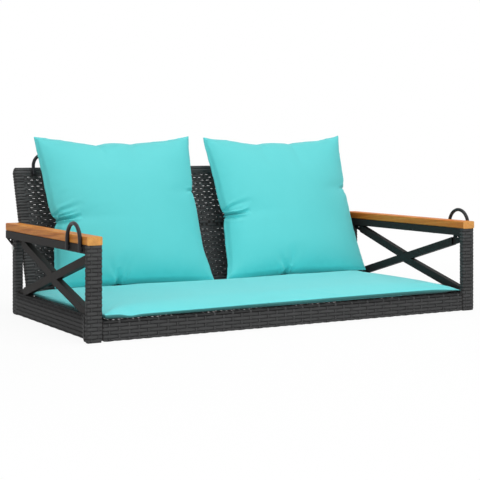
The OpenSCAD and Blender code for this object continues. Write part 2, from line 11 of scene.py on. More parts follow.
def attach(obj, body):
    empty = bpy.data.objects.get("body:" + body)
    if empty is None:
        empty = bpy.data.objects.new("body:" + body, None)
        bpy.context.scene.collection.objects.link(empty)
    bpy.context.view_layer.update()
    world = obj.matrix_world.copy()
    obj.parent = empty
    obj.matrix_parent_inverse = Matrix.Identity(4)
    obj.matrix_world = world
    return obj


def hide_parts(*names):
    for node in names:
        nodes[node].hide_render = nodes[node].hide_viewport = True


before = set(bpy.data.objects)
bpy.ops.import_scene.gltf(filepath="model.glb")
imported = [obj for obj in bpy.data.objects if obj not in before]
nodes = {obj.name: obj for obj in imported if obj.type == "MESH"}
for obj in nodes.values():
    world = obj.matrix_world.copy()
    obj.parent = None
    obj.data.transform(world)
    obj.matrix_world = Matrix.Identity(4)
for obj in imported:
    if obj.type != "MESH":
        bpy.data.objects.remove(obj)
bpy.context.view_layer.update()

SIDES = {"left": -1, "right": 1}
ACROSS = (1, 0, 0)
BACKWARDS = (0, 1, 0)
UP = (0, 0, 1)
METRE = 1000

# The seat, in millimetres. The origin is on the ground, in the middle of its width and depth.
HALF_DEPTH = 298
FRONT_ORIGIN = (0, -HALF_DEPTH, 0)

# The backrest: its angle from upright, the height of its rear top edge, half its width, its
# thickness, its length down the slope, and its borders' widths at the sides and ends
RECLINE = math.radians(19)
BACK_TOP_Z = 365.49
BACK_HALF = 507.5
BACK_T = 20
BACK_LEN = 332.6
BORDER_W = 25
BAND_H = 21

# The backrest's own axes start at its rear top edge: out of its rear face, and up its slope
BACK_ORIGIN = (0, HALF_DEPTH, BACK_TOP_Z)
BACK_OUT = (0, math.cos(RECLINE), -math.sin(RECLINE))
BACK_UP = (0, math.sin(RECLINE), math.cos(RECLINE))

# The weave of the large sheets, from middle to middle
ROW_PITCH = 8.3
STAKE_PITCH = 24

# The seat cushion: half its width, its ends' depths from the front, and heights from the ground
PAD_HALF = 505
PAD_FRONT = 2
PAD_REAR = 455.7
PAD_LOW = 49
PAD_SEAM = 59.2
PAD_HIGH = 65.5

# The plane of the back cushions' seams, ahead of the backrest's rear face
PILLOW_MID = -80.66


# ---- Camera, floor and light ----

def set_camera():
    """A level camera ahead of the left arm, its frame moved down to take in the whole seat."""
    data = bpy.data.cameras.new("camera")
    camera = bpy.data.objects.new("camera", data)
    bpy.context.scene.collection.objects.link(camera)
    camera.location = (-1.58026, -2.77645, 0.44073)
    camera.rotation_euler = (math.pi / 2, 0, -math.radians(29.783))
    data.sensor_width = 36
    data.lens = 91.80
    data.shift_y = -0.2047
    bpy.context.scene.camera = camera


class Tone:
    """A socket in a material. Sums on it add Math nodes."""

    def __init__(self, tree, socket=None):
        self.tree, self.socket = tree, socket

    def node(self, kind, settings=None, out=0, **values):
        """Any node: its type, its settings, the output wanted, then the values or links of its
        sockets. A socket goes by its name, or by its number as i0, i1 and so on."""
        made = self.tree.nodes.new("ShaderNode" + kind)
        for key, value in (settings or {}).items():
            if key == "stops":
                ramp = made.color_ramp
                for place, colour in value[2:]:
                    ramp.elements.new(place)
                for stop, (place, colour) in zip(ramp.elements, value):
                    stop.position = place
                    stop.color = (*colour, 1)
            else:
                setattr(made, key, value)
        for key, value in values.items():
            name = int(key[1:]) if key[0] == "i" and key[1:].isdigit() else key.replace("_", " ")
            socket = made.inputs[name]
            if isinstance(value, Tone):
                self.tree.links.new(value.socket, socket)
            else:
                socket.default_value = value
        return Tone(self.tree, made.outputs[out])

    def math(self, operation, first, second=0.0):
        return self.node("Math", {"operation": operation}, i0=first, i1=second)

    def __add__(self, other):
        return self.math("ADD", self, other)

    def __radd__(self, other):
        return self.math("ADD", other, self)

    def __sub__(self, other):
        return self.math("SUBTRACT", self, other)

    def __rsub__(self, other):
        return self.math("SUBTRACT", other, self)

    def __mul__(self, other):
        return self.math("MULTIPLY", self, other)

    def __rmul__(self, other):
        return self.math("MULTIPLY", other, self)

    def mixed(self, low, high):
        """A colour between low and high, as this value goes from 0 to 1. The Mix node's colours are
        its sockets 6 and 7, and its mixed colour is output 2."""
        return self.node("Mix", {"data_type": "RGBA"}, out=2, i0=self, i6=low, i7=high)

    def falling(self, low, high):
        """1 where this value is below low, 0 where it is above high."""
        return self.node("MapRange", Value=self, From_Min=low, From_Max=high, To_Min=1.0, To_Max=0.0)

    def noise(self, scale, detail=2.0, rough=0.5):
        return self.node("TexNoise", Vector=self, Scale=scale, Detail=detail, Roughness=rough)

    def turned(self, scale=(1, 1, 1), rotation=(0, 0, 0)):
        return self.node("Mapping", Vector=self, Scale=scale, Rotation=rotation)

    def joined(self, x, y, z):
        return self.node("CombineXYZ", X=x, Y=y, Z=z)

    def parts(self):
        made = self.node("SeparateXYZ", Vector=self).socket.node
        return [Tone(self.tree, socket) for socket in made.outputs]

    def on_piece(self):
        """The place on the piece, in metres."""
        return self.node("TexCoord", out="Object")

    def seen_by(self, *rays):
        """1 for any of these kinds of ray."""
        paths = self.node("LightPath").socket.node.outputs
        kinds = [Tone(self.tree, paths[f"Is {ray} Ray"]) for ray in rays]
        seen = kinds[0]
        for kind in kinds[1:]:
            seen = self.math("MAXIMUM", seen, kind)
        return seen


def rgb(red, green, blue):
    return (red, green, blue, 1)


def new_material(name, **even):
    """A material, its surface shader with the values that are even all over, and a start for sums."""
    material = bpy.data.materials.new(name)
    material.use_nodes = True
    tree = material.node_tree
    shader = tree.nodes["Principled BSDF"]
    for key, value in even.items():
        shader.inputs[key.replace("_", " ")].default_value = value
    return material, shader, Tone(tree)


def feed(tone, shader, **links):
    """The tones linked into the shader's sockets of these names."""
    for key, value in links.items():
        tone.tree.links.new(value.socket, shader.inputs[key.replace("_", " ")])


def bump(tone, height, strength, distance):
    return tone.node("Bump", Strength=strength, Distance=distance, Height=height)


def woven_resin():
    """Flat resin strands, near black, with fine lengthwise grooves, a painted highlight along each crown
    and painted shade at the edges.
    """
    material, shader, tone = new_material("woven_resin_strand", Specular_IOR_Level=0.05)
    along, across, seed = tone.node("Attribute", {"attribute_name": "strand"}, out="Vector").parts()
    cloudy = tone.joined(along * 40, across * 2, seed * 60).noise(1.0, 3)
    groove = tone.math("SINE", across * 16 + seed * 6) * 0.5 + 0.5
    grain = tone.joined(along * 60, across * 14, seed * 60).noise(1.0, 2)
    # crown and groove paint light and shade into the colour: each strand lighter along its middle, darker
    # at its edges and in the hollows of its grooves
    crown = 1.0 - across * across
    shade = crown * 0.5 + cloudy * 0.25 + seed * 0.2 + groove * 0.1
    colour = shade.mixed(rgb(0.015, 0.0152, 0.0155), rgb(0.103, 0.104, 0.105))
    feed(tone, shader, Base_Color=colour, Roughness=0.46 + cloudy * 0.2,
         Normal=bump(tone, groove * 0.6 + grain * 0.7, 0.5, 0.00025))
    return material


def black_steel():
    """Powder-coated steel tube: fine orange peel, and patches that are a little paler."""
    material, shader, tone = new_material("powder_coated_steel", Specular_IOR_Level=0.05)
    place = tone.on_piece()
    peel = place.noise(900, 2)
    patch = place.noise(18, 4)
    colour = patch.mixed(rgb(0.027, 0.0255, 0.0245), rgb(0.040, 0.0375, 0.0365))
    feed(tone, shader, Base_Color=colour, Roughness=0.46 + patch * 0.16,
         Normal=bump(tone, peel, 0.35, 0.0004))
    return material


def loop_enamel():
    """The hanging loops' black enamel, darker and smoother than the tubes."""
    material, shader, tone = new_material("black_enamel", Specular_IOR_Level=0.3)
    place = tone.on_piece()
    patch = place.noise(60, 3)
    colour = patch.mixed(rgb(0.010, 0.010, 0.012), rgb(0.018, 0.018, 0.021))
    feed(tone, shader, Base_Color=colour, Roughness=0.30 + patch * 0.15,
         Normal=bump(tone, place.noise(700, 2), 0.2, 0.0003))
    return material


def black_plastic():
    """Moulded feet and end caps, with a fine grain from the mould."""
    material, shader, tone = new_material("moulded_black_plastic")
    place = tone.on_piece()
    grain = place.noise(700, 3)
    patch = place.noise(30, 3)
    colour = patch.mixed(rgb(0.014, 0.014, 0.015), rgb(0.026, 0.026, 0.027))
    feed(tone, shader, Base_Color=colour, Roughness=0.45 + grain * 0.15,
         Normal=bump(tone, grain, 0.4, 0.0003))
    return material


def zinc_steel():
    """Bolts and screws, with the cloudy spangle of zinc plating."""
    material, shader, tone = new_material("zinc_plated_steel", Metallic=1)
    spangle = tone.on_piece().noise(260, 4)
    colour = spangle.mixed(rgb(0.42, 0.42, 0.41), rgb(0.66, 0.66, 0.64))
    feed(tone, shader, Base_Color=colour, Roughness=0.28 + spangle * 0.2,
         Normal=bump(tone, spangle, 0.15, 0.0002))
    return material


def oiled_wood():
    """Acacia with its grain along the board: wavering bands, fine pores, darker streaks."""
    material, shader, tone = new_material("oiled_acacia", Specular_IOR_Level=0.25)
    place = tone.on_piece()
    drift = place.turned((9, 1.6, 9)).noise(1.0, 2)
    x, y, z = place.parts()
    bands = tone.joined(x * 70 + drift * 3.4 + y * 2.2, y * 1.3,
                        z * 95 + drift * 2.6 + y * 10).noise(1.0, 5, 0.6)
    streak = tone.joined(x * 260 + drift * 6, y * 4, z * 260 + y * 12).noise(1.0, 3)
    pores = tone.joined(x * 1400, y * 45, z * 1400).noise(1.0, 2)
    tint = bands * 1.05 + streak * 0.4 - 0.22
    colour = tone.node("ValToRGB", {"stops": [
        (0.28, (0.42, 0.118, 0.014)), (0.44, (0.62, 0.208, 0.031)),
        (0.58, (0.76, 0.302, 0.052)), (0.74, (0.86, 0.405, 0.092))]}, Fac=tint)
    # painted light: the right board's inner face made redder, against the teal light that the cushions
    # throw on it
    counter_bounce = x.falling(0.509, 0.540) * tone.math("GREATER_THAN", x, 0.0)
    colour = (counter_bounce * 0.42).mixed(colour, rgb(0.74, 0.13, 0.015))
    # painted light: the boards' front ends made paler
    end = y.falling(-0.2974, -0.2968)
    colour = (end * 0.5).mixed(colour, rgb(0.95, 0.53, 0.17))
    pored = tone.math("GREATER_THAN", pores, 0.63) * 0.35
    colour = pored.mixed(colour, rgb(0.22, 0.075, 0.02))
    feed(tone, shader, Base_Color=colour, Roughness=0.42 + streak * 0.2,
         Normal=bump(tone, streak * 0.5 + pores * 0.5, 0.25, 0.0004))
    return material


def cushion_fabric(name, lean, sheen, deep, pale, hem_shade=None):
    """Plain-woven polyester, its threads running along and up a cushion that leans by an angle.
    A painted shade darkens it where the cushion's above_seam value is below 0: the shaded face below the
    seat cushion's front seam."""
    material, shader, tone = new_material(name, Specular_IOR_Level=0.45, Sheen_Weight=sheen,
                                          Sheen_Roughness=0.5)
    place = tone.on_piece().turned(rotation=(lean, 0, 0))
    x, y, z = place.parts()
    threads = 4200
    weft = tone.math("SINE", x * threads)
    warp = tone.math("SINE", (z if lean else y) * threads)
    cloth = weft * warp * 0.5 + 0.5
    slub = place.turned((900, 900, 60)).noise(1.0, 2)
    soft = place.noise(9, 3)
    fold = place.noise(34, 3)
    shade = soft * 0.6 + slub * 0.25 + cloth * 0.15
    colour = shade.mixed(deep, pale)
    # painted shade on the seat cushion's face below its front seam
    if hem_shade:
        above = tone.node("Attribute", {"attribute_name": "above_seam"}, out="Fac")
        colour = above.falling(-0.0006, 0.0003).mixed(colour, hem_shade)
    feed(tone, shader, Base_Color=colour, Roughness=0.62 + slub * 0.12,
         Normal=bump(tone, cloth * 0.25 + fold * 1.2, 0.35, 0.0010))
    return material


def pale_floor():
    """A matt floor that is white to the camera away from the seat and keeps the shadow under it."""
    material, shader, tone = new_material("pale_floor", Roughness=0.9, Specular_IOR_Level=0.1)
    feed(tone, shader, Base_Color=tone.seen_by("Camera").mixed(rgb(0.6, 0.6, 0.6), rgb(1, 1, 1)))
    x, y = tone.on_piece().parts()[:2]
    far = tone.node("MapRange", {"interpolation_type": "SMOOTHSTEP"},
                    Value=tone.math("SQRT", x * x + y * y),
                    From_Min=0.8, From_Max=1.7, To_Min=0.92, To_Max=1.0)
    white = tone.node("Emission", Color=rgb(1, 1, 1), Strength=1.0)
    mixed = tone.node("MixShader", i0=tone.seen_by("Camera", "Glossy") * far,
                      i1=Tone(tone.tree, shader.outputs[0]), i2=white)
    tone.tree.links.new(mixed.socket, tone.tree.nodes["Material Output"].inputs[0])
    return material


def lay_floor():
    """A wide floor, just under the feet."""
    made = bmesh.new()
    bmesh.ops.create_grid(made, x_segments=1, y_segments=1, size=30)
    bmesh.ops.translate(made, verts=made.verts, vec=(0, 0, -0.0008))
    floor = finished("floor", made)
    floor.data.materials.append(pale_floor())


def set_surround():
    """A surround that looks white and gives a soft, weaker light."""
    world = bpy.data.worlds.new("surround")
    bpy.context.scene.world = world
    world.use_nodes = True
    tree = world.node_tree
    tree.nodes.clear()
    tone = Tone(tree)
    light = tone.node("Background", Color=rgb(1, 1, 1), Strength=0.23)
    white = tone.node("Background", Color=rgb(1, 1, 1), Strength=1.0)
    shown = tone.seen_by("Camera", "Glossy", "Transmission")
    mixed = tone.node("MixShader", i0=shown, i1=light, i2=white)
    out = tree.nodes.new("ShaderNodeOutputWorld")
    tree.links.new(mixed.socket, out.inputs[0])


def set_lamps():
    """Soft lamps: place, size and power, and whether they show in shiny surfaces."""
    aim = Vector((0, 0, 0.2))
    for name, place, size, power, glossy in (
            ("lamp_above", (0.2, -0.9, 3.0), 2.6, 54, True),
            ("lamp_front", (0.3, -3.8, 1.4), 2.2, 33, True),
            ("lamp_left", (-5.2, -3.9, 2.0), 6.0, 128, False),
            ("lamp_rear", (2.4, 3.8, 2.6), 2.6, 45, False)):
        data = bpy.data.lights.new(name, "AREA")
        data.size = size
        data.energy = power
        lamp = bpy.data.objects.new(name, data)
        bpy.context.scene.collection.objects.link(lamp)
        lamp.location = place
        lamp.visible_glossy = glossy
        lamp.rotation_euler = (Vector(place) - aim).to_track_quat("Z", "Y").to_euler()


# ---- Making pieces ----

def piece_of(name, mesh):
    """A mesh as a smoothly shaded object at the origin."""
    mesh.polygons.foreach_set("use_smooth", [True] * len(mesh.polygons))
    mesh.update()
    piece = bpy.data.objects.new(name, mesh)
    bpy.context.scene.collection.objects.link(piece)
    return piece


def finished(name, made):
    """A bmesh turned into an object at the origin."""
    mesh = bpy.data.meshes.new(name)
    made.to_mesh(mesh)
    made.free()
    return piece_of(name, mesh)


def fitted(piece, body, material, replaced):
    """The piece given its material, its body and the CAD node that it stands for."""
    piece.data.materials.clear()
    piece.data.materials.append(material)
    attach(piece, body)
    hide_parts(replaced)


def fit_weave(resin, replaced, *pieces):
    for piece in pieces:
        fitted(piece, "frame", resin, replaced)


def coordinates(mesh):
    co = np.zeros(len(mesh.vertices) * 3, np.float32)
    mesh.vertices.foreach_get("co", co)
    return co.reshape(-1, 3).astype(float)


def put_coordinates(mesh, co):
    mesh.vertices.foreach_set("co", co.astype(np.float32).ravel())
    mesh.update()


def apply_all(piece):
    """The piece's modifiers made part of its mesh."""
    done = bpy.data.meshes.new_from_object(piece.evaluated_get(bpy.context.evaluated_depsgraph_get()))
    piece.modifiers.clear()
    old, piece.data = piece.data, done
    bpy.data.meshes.remove(old)


def soften(piece):
    """One level of subdivision."""
    soft = piece.modifiers.new("soften", "SUBSURF")
    soft.levels = soft.render_levels = 1


def distances(line):
    """How far along a line each of its points is."""
    return np.concatenate([[0], np.cumsum(np.linalg.norm(np.diff(line, axis=0), axis=1))])


def rounded(corners, radius, closed):
    """A path through the corners, each one rounded: its points, outward normals and lengths."""
    arc_parts, step = 8, 0.5
    corners = [Vector(corner) for corner in corners]
    line = []
    for i, corner in enumerate(corners):
        if not closed and i in (0, len(corners) - 1):
            line.append(corner)
            continue
        before = (corners[i - 1] - corner).normalized()
        after = (corners[(i + 1) % len(corners)] - corner).normalized()
        half = before.angle(after) / 2
        middle = corner + (before + after).normalized() * radius / math.sin(half)
        first = (corner + before * radius / math.tan(half) - middle).normalized()
        last = (corner + after * radius / math.tan(half) - middle).normalized()
        line += [middle + radius * first.slerp(last, k / arc_parts) for k in range(arc_parts + 1)]
    if closed:
        line.append(line[0])
    line = np.array([tuple(point) for point in line])
    lengths = distances(line)
    fine = np.linspace(0, lengths[-1], int(lengths[-1] / step) + 1)
    points = np.stack([np.interp(fine, lengths, line[:, k]) for k in (0, 1)], 1)
    ahead = np.gradient(points, axis=0)
    if closed:
        ahead[0] = ahead[-1] = ahead[0] + ahead[-1]
    normals = np.stack([ahead[:, 1], -ahead[:, 0]], 1)
    normals /= np.linalg.norm(normals, axis=1)[:, None]
    if closed and np.sum((points - points.mean(0)) * normals) < 0:
        normals = -normals
    return points, normals, fine


class Skin:
    """A surface that strands lie on: a section path in the axes u and v, carried along a run."""

    def __init__(self, corners, origin, u, v, run, radius, closed=False):
        self.points, self.normals, self.fine = rounded(corners, radius, closed)
        self.closed = closed
        self.length = self.fine[-1]
        self.origin, self.u, self.v, self.run = (np.array(a, float) for a in (origin, u, v, run))

    def at(self, along_path, along_run, height):
        """Points in metres at distances round the path and along the run, and a height off the skin."""
        p = np.mod(along_path, self.length) if self.closed else along_path
        x, y, nx, ny = (np.interp(p, self.fine, a) for a in
                        (self.points[:, 0], self.points[:, 1], self.normals[:, 0], self.normals[:, 1]))
        if not self.closed:
            over = along_path - np.clip(along_path, 0, self.length)
            x, y = x - ny * over, y + nx * over
        flat = (x + nx * height)[:, None] * self.u + (y + ny * height)[:, None] * self.v
        return (self.origin + flat + along_run[:, None] * self.run) / METRE


def unit_strand(steps, sides, closed):
    """One strand as a rolled-up grid, with each vertex's place along it and round its section."""
    made = bmesh.new()
    bmesh.ops.create_grid(made, x_segments=steps, y_segments=sides, size=0.5)
    layer = made.verts.layers.float_vector.new("unit")
    ring_radius = 3     # so that the two ends of a closed one meet and merge
    for vertex in made.verts:
        along, turn = vertex.co.x + 0.5, (vertex.co.y + 0.5) * math.tau
        unit = Vector((along, math.cos(turn), math.sin(turn)))
        vertex[layer] = unit
        vertex.co = unit
        if closed:
            out, angle = ring_radius + unit.y, along * math.tau
            vertex.co = (out * math.cos(angle), out * math.sin(angle), unit.z)
    bmesh.ops.remove_doubles(made, verts=made.verts, dist=1e-4)
    if not closed:
        bmesh.ops.holes_fill(made, edges=[e for e in made.edges if e.is_boundary], sides=0)
    mesh = bpy.data.meshes.new("unit_strand")
    made.to_mesh(mesh)
    made.free()
    units = np.zeros(len(mesh.vertices) * 3, np.float32)
    mesh.attributes["unit"].data.foreach_get("vector", units)
    return mesh, units.reshape(-1, 3)


def wander(t, chance, reach, closed_length=None):
    """A slow uneven drift along a strand, which meets its own start on a closed one."""
    total = np.zeros_like(t)
    for wave in (1, 2, 3):
        length = closed_length / wave if closed_length else chance.uniform(70, 260)
        total += chance.uniform(-1, 1) * np.sin(math.tau * t / length + chance.uniform(0, math.tau))
    usual_peak = 1.7
    return reach * total / usual_peak


def point_outwards(mesh):
    check = bmesh.new()
    check.from_mesh(mesh)
    if check.calc_volume(signed=True) < 0:
        mesh.flip_normals()
    check.free()


def strands(name, skin, places, ends, heights, width, thick, steps, seed, round_path=False,
            sides=8, drift=0.25, squeeze=None, shade=(0, 1)):
    """A set of flat strands. places are their middle lines, ends their first and last point,
    heights(t, index) how far each stands off the skin, round_path whether they go round the path,
    shade the range of their tints. Their strand attribute is the metres along, the place across
    from -1 to 1, and the tint."""
    closed = round_path and skin.closed
    unit, units = unit_strand(steps, sides, closed)
    chance = np.random.RandomState(seed)
    flat_sides = 0.8
    made = bmesh.new()
    spots, marks = [], []
    for index, place in enumerate(places):
        made.from_mesh(unit)
        first, last = ends
        t = first + (last - first) * units[:, 0]
        loop = skin.length if closed else None
        wide = width(index) if callable(width) else width
        across = units[:, 1] * wide / 2 + wander(t, chance, drift, loop) + place
        lift = heights(t, index) + wander(t, chance, drift * 0.5, loop)
        height = lift + np.sign(units[:, 2]) * np.abs(units[:, 2]) ** flat_sides * thick / 2
        if squeeze is not None:
            across, height = squeeze(t, across, height)
        spots.append(skin.at(t, across, height) if round_path else skin.at(across, t, height))
        tint = chance.uniform(*(shade(index) if callable(shade) else shade))
        marks.append(np.stack([t / METRE, units[:, 1], np.full(len(t), tint)], 1))
    mesh = bpy.data.meshes.new(name)
    made.to_mesh(mesh)
    made.free()
    mesh.vertices.foreach_set("co", np.concatenate(spots).astype(np.float32).ravel())
    mesh.attributes.remove(mesh.attributes["unit"])
    mark = mesh.attributes.new("strand", "FLOAT_VECTOR", "POINT")
    mark.data.foreach_set("vector", np.concatenate(marks).astype(np.float32).ravel())
    bpy.data.meshes.remove(unit)
    point_outwards(mesh)
    return piece_of(name, mesh)


def over_under(pitch, start, lift, level, sign=1):
    """Heights of a strand that goes over and under strands a pitch apart."""
    def heights(t, index):
        return level + sign * lift * np.cos(math.pi * ((t - start) / pitch + index))
    return heights


def lying(level):
    """Heights of a strand that lies level."""
    def heights(t, index):
        return np.full_like(t, level)
    return heights


def spaced(first, last, pitch):
    """Places from first to last, as near to a pitch apart as fits."""
    count = max(1, round((last - first) / pitch))
    return [first + (last - first) * k / count for k in range(count + 1)]


def stake_places(count):
    """Stakes a pitch apart, as many on either side of the middle."""
    return [-STAKE_PITCH * (count - 1) / 2 + STAKE_PITCH * k for k in range(count)]


# ---- The woven pieces ----

def build_apron(resin):
    """Rows along the seat's front, turned over both tubes, with stakes up and over them."""
    face, top, low = 0.2, 47.3, 0.2
    top_end, lip, lip_end = 18.5, 18.4, 12
    skin = Skin([(top_end, top), (face, top), (face, low), (lip, low), (lip, lip_end)],
                FRONT_ORIGIN, BACKWARDS, UP, ACROSS, radius=3.2)
    pitch, first = 8.2, 3.4
    rows = [first + pitch * k for k in range(int((skin.length - first) / pitch) + 1)]
    stakes = stake_places(42)
    level, lift = -1.85, 0.75
    post_side, past_post, depth = 503.2, 4.8, 3.4
    half, top_rows = 509, 21

    def turned_in(t, across, height):
        """The rows turn in where they meet the posts."""
        return across, height - depth * np.clip((np.abs(t) - post_side) / past_post, 0, 1) ** 1.6

    def row_shade(index):
        """The rows on top, under the seat cushion, get a darker tint: painted shadow of the seat cushion.
        """
        return (-2.2, -1.4) if rows[index] < top_rows else (0, 1)

    across = strands("apron_rows", skin, rows, (-half, half),
                     over_under(STAKE_PITCH, stakes[0], lift, level), width=8.7, thick=2.2, steps=340,
                     drift=0.14, squeeze=turned_in, seed=3, shade=row_shade)
    upright = strands("apron_stakes", skin, stakes, (face, skin.length - face),
                      over_under(pitch, rows[0], lift, level, sign=-1), width=6.8, thick=1.9, steps=44,
                      round_path=True, sides=6, drift=0.2, seed=4)
    fit_weave(resin, "front_apron", across, upright)


def build_deck(resin):
    """The flat seat deck: rows across it, and stakes from front to back."""
    front, rear, top = 18.5, 484.7, 46.2
    skin = Skin([(front, top), (rear, top)], FRONT_ORIGIN, BACKWARDS, UP, ACROSS, radius=1)
    rows = spaced(first=4, last=463, pitch=ROW_PITCH)
    pitch = rows[1] - rows[0]
    stakes = stake_places(42)
    half, last, lift = 507, 466, 0.8
    across = strands("deck_rows", skin, rows, (-half, half),
                     over_under(STAKE_PITCH, stakes[0], lift, level=0), width=7.2, thick=1.4,
                     steps=127, sides=6, seed=5)
    lengthwise = strands("deck_stakes", skin, stakes, (0, last),
                         over_under(pitch, rows[0], lift, level=0, sign=-1), width=6.2, thick=1.4,
                         steps=168, round_path=True, sides=6, seed=6)
    fit_weave(resin, "seat_deck", across, lengthwise)


def build_back_sheet(resin):
    """The backrest's open front sheet: its path goes up the slope, and its run across. Heights off
    it go backwards."""
    front = -BACK_T + 2.9
    skin = Skin([(front, -BACK_LEN), (front, 0)], BACK_ORIGIN, BACK_OUT, BACK_UP, ACROSS, radius=1)
    rows = spaced(BAND_H - 8, BACK_LEN - BAND_H + 1, ROW_PITCH)
    pitch = rows[1] - rows[0]
    stakes = stake_places(41)
    half = BACK_HALF - 5
    open_width, closer = 8.15, 0.42
    open_down_to, open_row = 128, (184, 193)

    def row_width(index):
        """The lower half is closer woven, but for one open row below the middle tube."""
        down = BACK_LEN - rows[index]
        is_open = down < open_down_to or open_row[0] < down < open_row[1]
        return open_width if is_open else open_width + closer

    across = strands("backrest_rows", skin, rows, (-half, half),
                     over_under(STAKE_PITCH, stakes[0], lift=2.1, level=0, sign=-1), row_width,
                     thick=1.5, steps=168, drift=0.1, seed=7)
    upright = strands("backrest_stakes", skin, stakes, (BAND_H - 12, BACK_LEN - 6),
                      over_under(pitch, rows[0], lift=0.15, level=0), width=9.4, thick=2.2, steps=80,
                      round_path=True, drift=0.2, seed=8, shade=(0, 1.3))
    fit_weave(resin, "backrest_weave", across, upright)


def build_back_bands(resin):
    """Bands of plain rows round the backrest's top and bottom tubes."""
    rise, drop, count = 2.6, 3.5, 10
    for where, low, high in (("top", -BACK_T, rise),
                             ("bottom", -BACK_LEN - drop, BACK_T - BACK_LEN - drop)):
        box = [(-BACK_T, low), (0, low), (0, high), (-BACK_T, high)]
        skin = Skin(box, BACK_ORIGIN, BACK_OUT, BACK_UP, ACROSS, radius=5.5, closed=True)
        rows = [skin.length * (k + 0.5) / count for k in range(count)]
        # the bands' strands get a lighter tint than the others: painted light against the shade between
        # the back cushions
        band = strands(f"backrest_{where}_band", skin, rows, (-BACK_HALF + 3, BACK_HALF - 3),
                       lying(level=-1.3), width=7.9, thick=2.7, steps=84, drift=0.15, seed=9,
                       shade=(0.6, 1.6))
        fit_weave(resin, "backrest_weave", band)


def rounded_off(t, across, height):
    """The border's rings get smaller in the top 9 mm, which rounds the backrest's corners."""
    radius, amount = 9, 0.8
    up = np.clip(radius + across, 0, radius)
    return across, height - (radius - np.sqrt(radius ** 2 - up ** 2)) * amount


def build_back_borders(resin):
    """Borders of plain rings round the backrest's side tubes."""
    for side, way in SIDES.items():
        inner, outer = BACK_HALF - BORDER_W, BACK_HALF + 1.2
        box = [(inner, -BACK_T), (outer, -BACK_T), (outer, 0), (inner, 0)]
        skin = Skin(box, BACK_ORIGIN, (way, 0, 0), BACK_OUT, BACK_UP, radius=5, closed=True)
        rings = spaced(first=-BACK_LEN + 1, last=-2.6, pitch=7.9)
        border = strands(f"backrest_{side}_border", skin, rings, (0, skin.length),
                         lying(level=-1.9), width=7.8, thick=4.2, steps=36, round_path=True,
                         squeeze=rounded_off, drift=0.2, seed=12 + way, shade=(-0.3, 1.6))
        fit_weave(resin, "backrest_weave", border)


def drawn_to_foot(t, across, height):
    """A post's wrap draws in over its lowest 8 mm."""
    reach, depth = 8, 2.4
    low = np.clip((reach - across) / reach, 0, 1)
    return across, height - depth * low ** 2


def build_front_wrap(resin, side, way):
    """A front post's plain weave, with two columns on each wide face."""
    inner, outer, rear = 508, 545, 17
    box = [(inner, 0), (outer, 0), (outer, rear), (inner, rear)]
    skin = Skin(box, FRONT_ORIGIN, (way, 0, 0), BACKWARDS, UP, radius=3.4, closed=True)
    columns = 6
    gap = skin.length / columns
    middle = np.argmin(np.hypot(skin.points[:, 0] - (inner + outer) / 2, skin.points[:, 1]))
    start = skin.fine[middle] - gap / 2
    stakes = [start + gap * k for k in range(columns)]
    rows = spaced(first=4.6, last=210.2, pitch=8.55)
    pitch = rows[1] - rows[0]
    level, lift, ends = -1.65, 0.6, (2, 213.5)
    around = strands(f"{side}_front_post_rows", skin, rows, (0, skin.length),
                     over_under(gap, start, lift, level), width=8.7, thick=2.2, steps=72,
                     round_path=True, squeeze=drawn_to_foot, drift=0.12, seed=20 + way)
    upright = strands(f"{side}_front_post_stakes", skin, stakes, ends,
                      over_under(pitch, rows[0], lift, level, sign=-1), width=4.6, thick=1.3, steps=100,
                      sides=6, drift=0.12, seed=24 + way)
    fit_weave(resin, f"{side}_front_wrap", around, upright)


def build_rear_wrap(resin, side, way):
    """A rear post's plain rings."""
    inner, outer, front, rear = 509.7, 529.5, 503.6, 532.6
    box = [(inner, front), (outer, front), (outer, rear), (inner, rear)]
    skin = Skin(box, FRONT_ORIGIN, (way, 0, 0), BACKWARDS, UP, radius=3.4, closed=True)
    rings = spaced(first=5.2, last=190.8, pitch=8.5)
    wrap = strands(f"{side}_rear_post_rings", skin, rings, (0, skin.length), lying(level=-1.2),
                   width=8.7, thick=2.5, steps=60, round_path=True, drift=0.15,
                   squeeze=drawn_to_foot, seed=28 + way)
    fit_weave(resin, f"{side}_rear_wrap", wrap)


def swell_to_post(piece, way):
    """The panel's outer face swells out to the front post's outer face."""
    swell, starts, eases = 0.0145, 0.070, 0.052
    inner, thickness = 0.512, 0.016
    co = coordinates(piece.data)
    near = np.clip((starts - (co[:, 1] + HALF_DEPTH / METRE)) / eases, 0, 1)
    outer = np.clip((np.abs(co[:, 0]) - inner) / thickness, 0, 1)
    co[:, 0] += way * swell * outer * near * near * (3 - 2 * near)
    put_coordinates(piece.data, co)


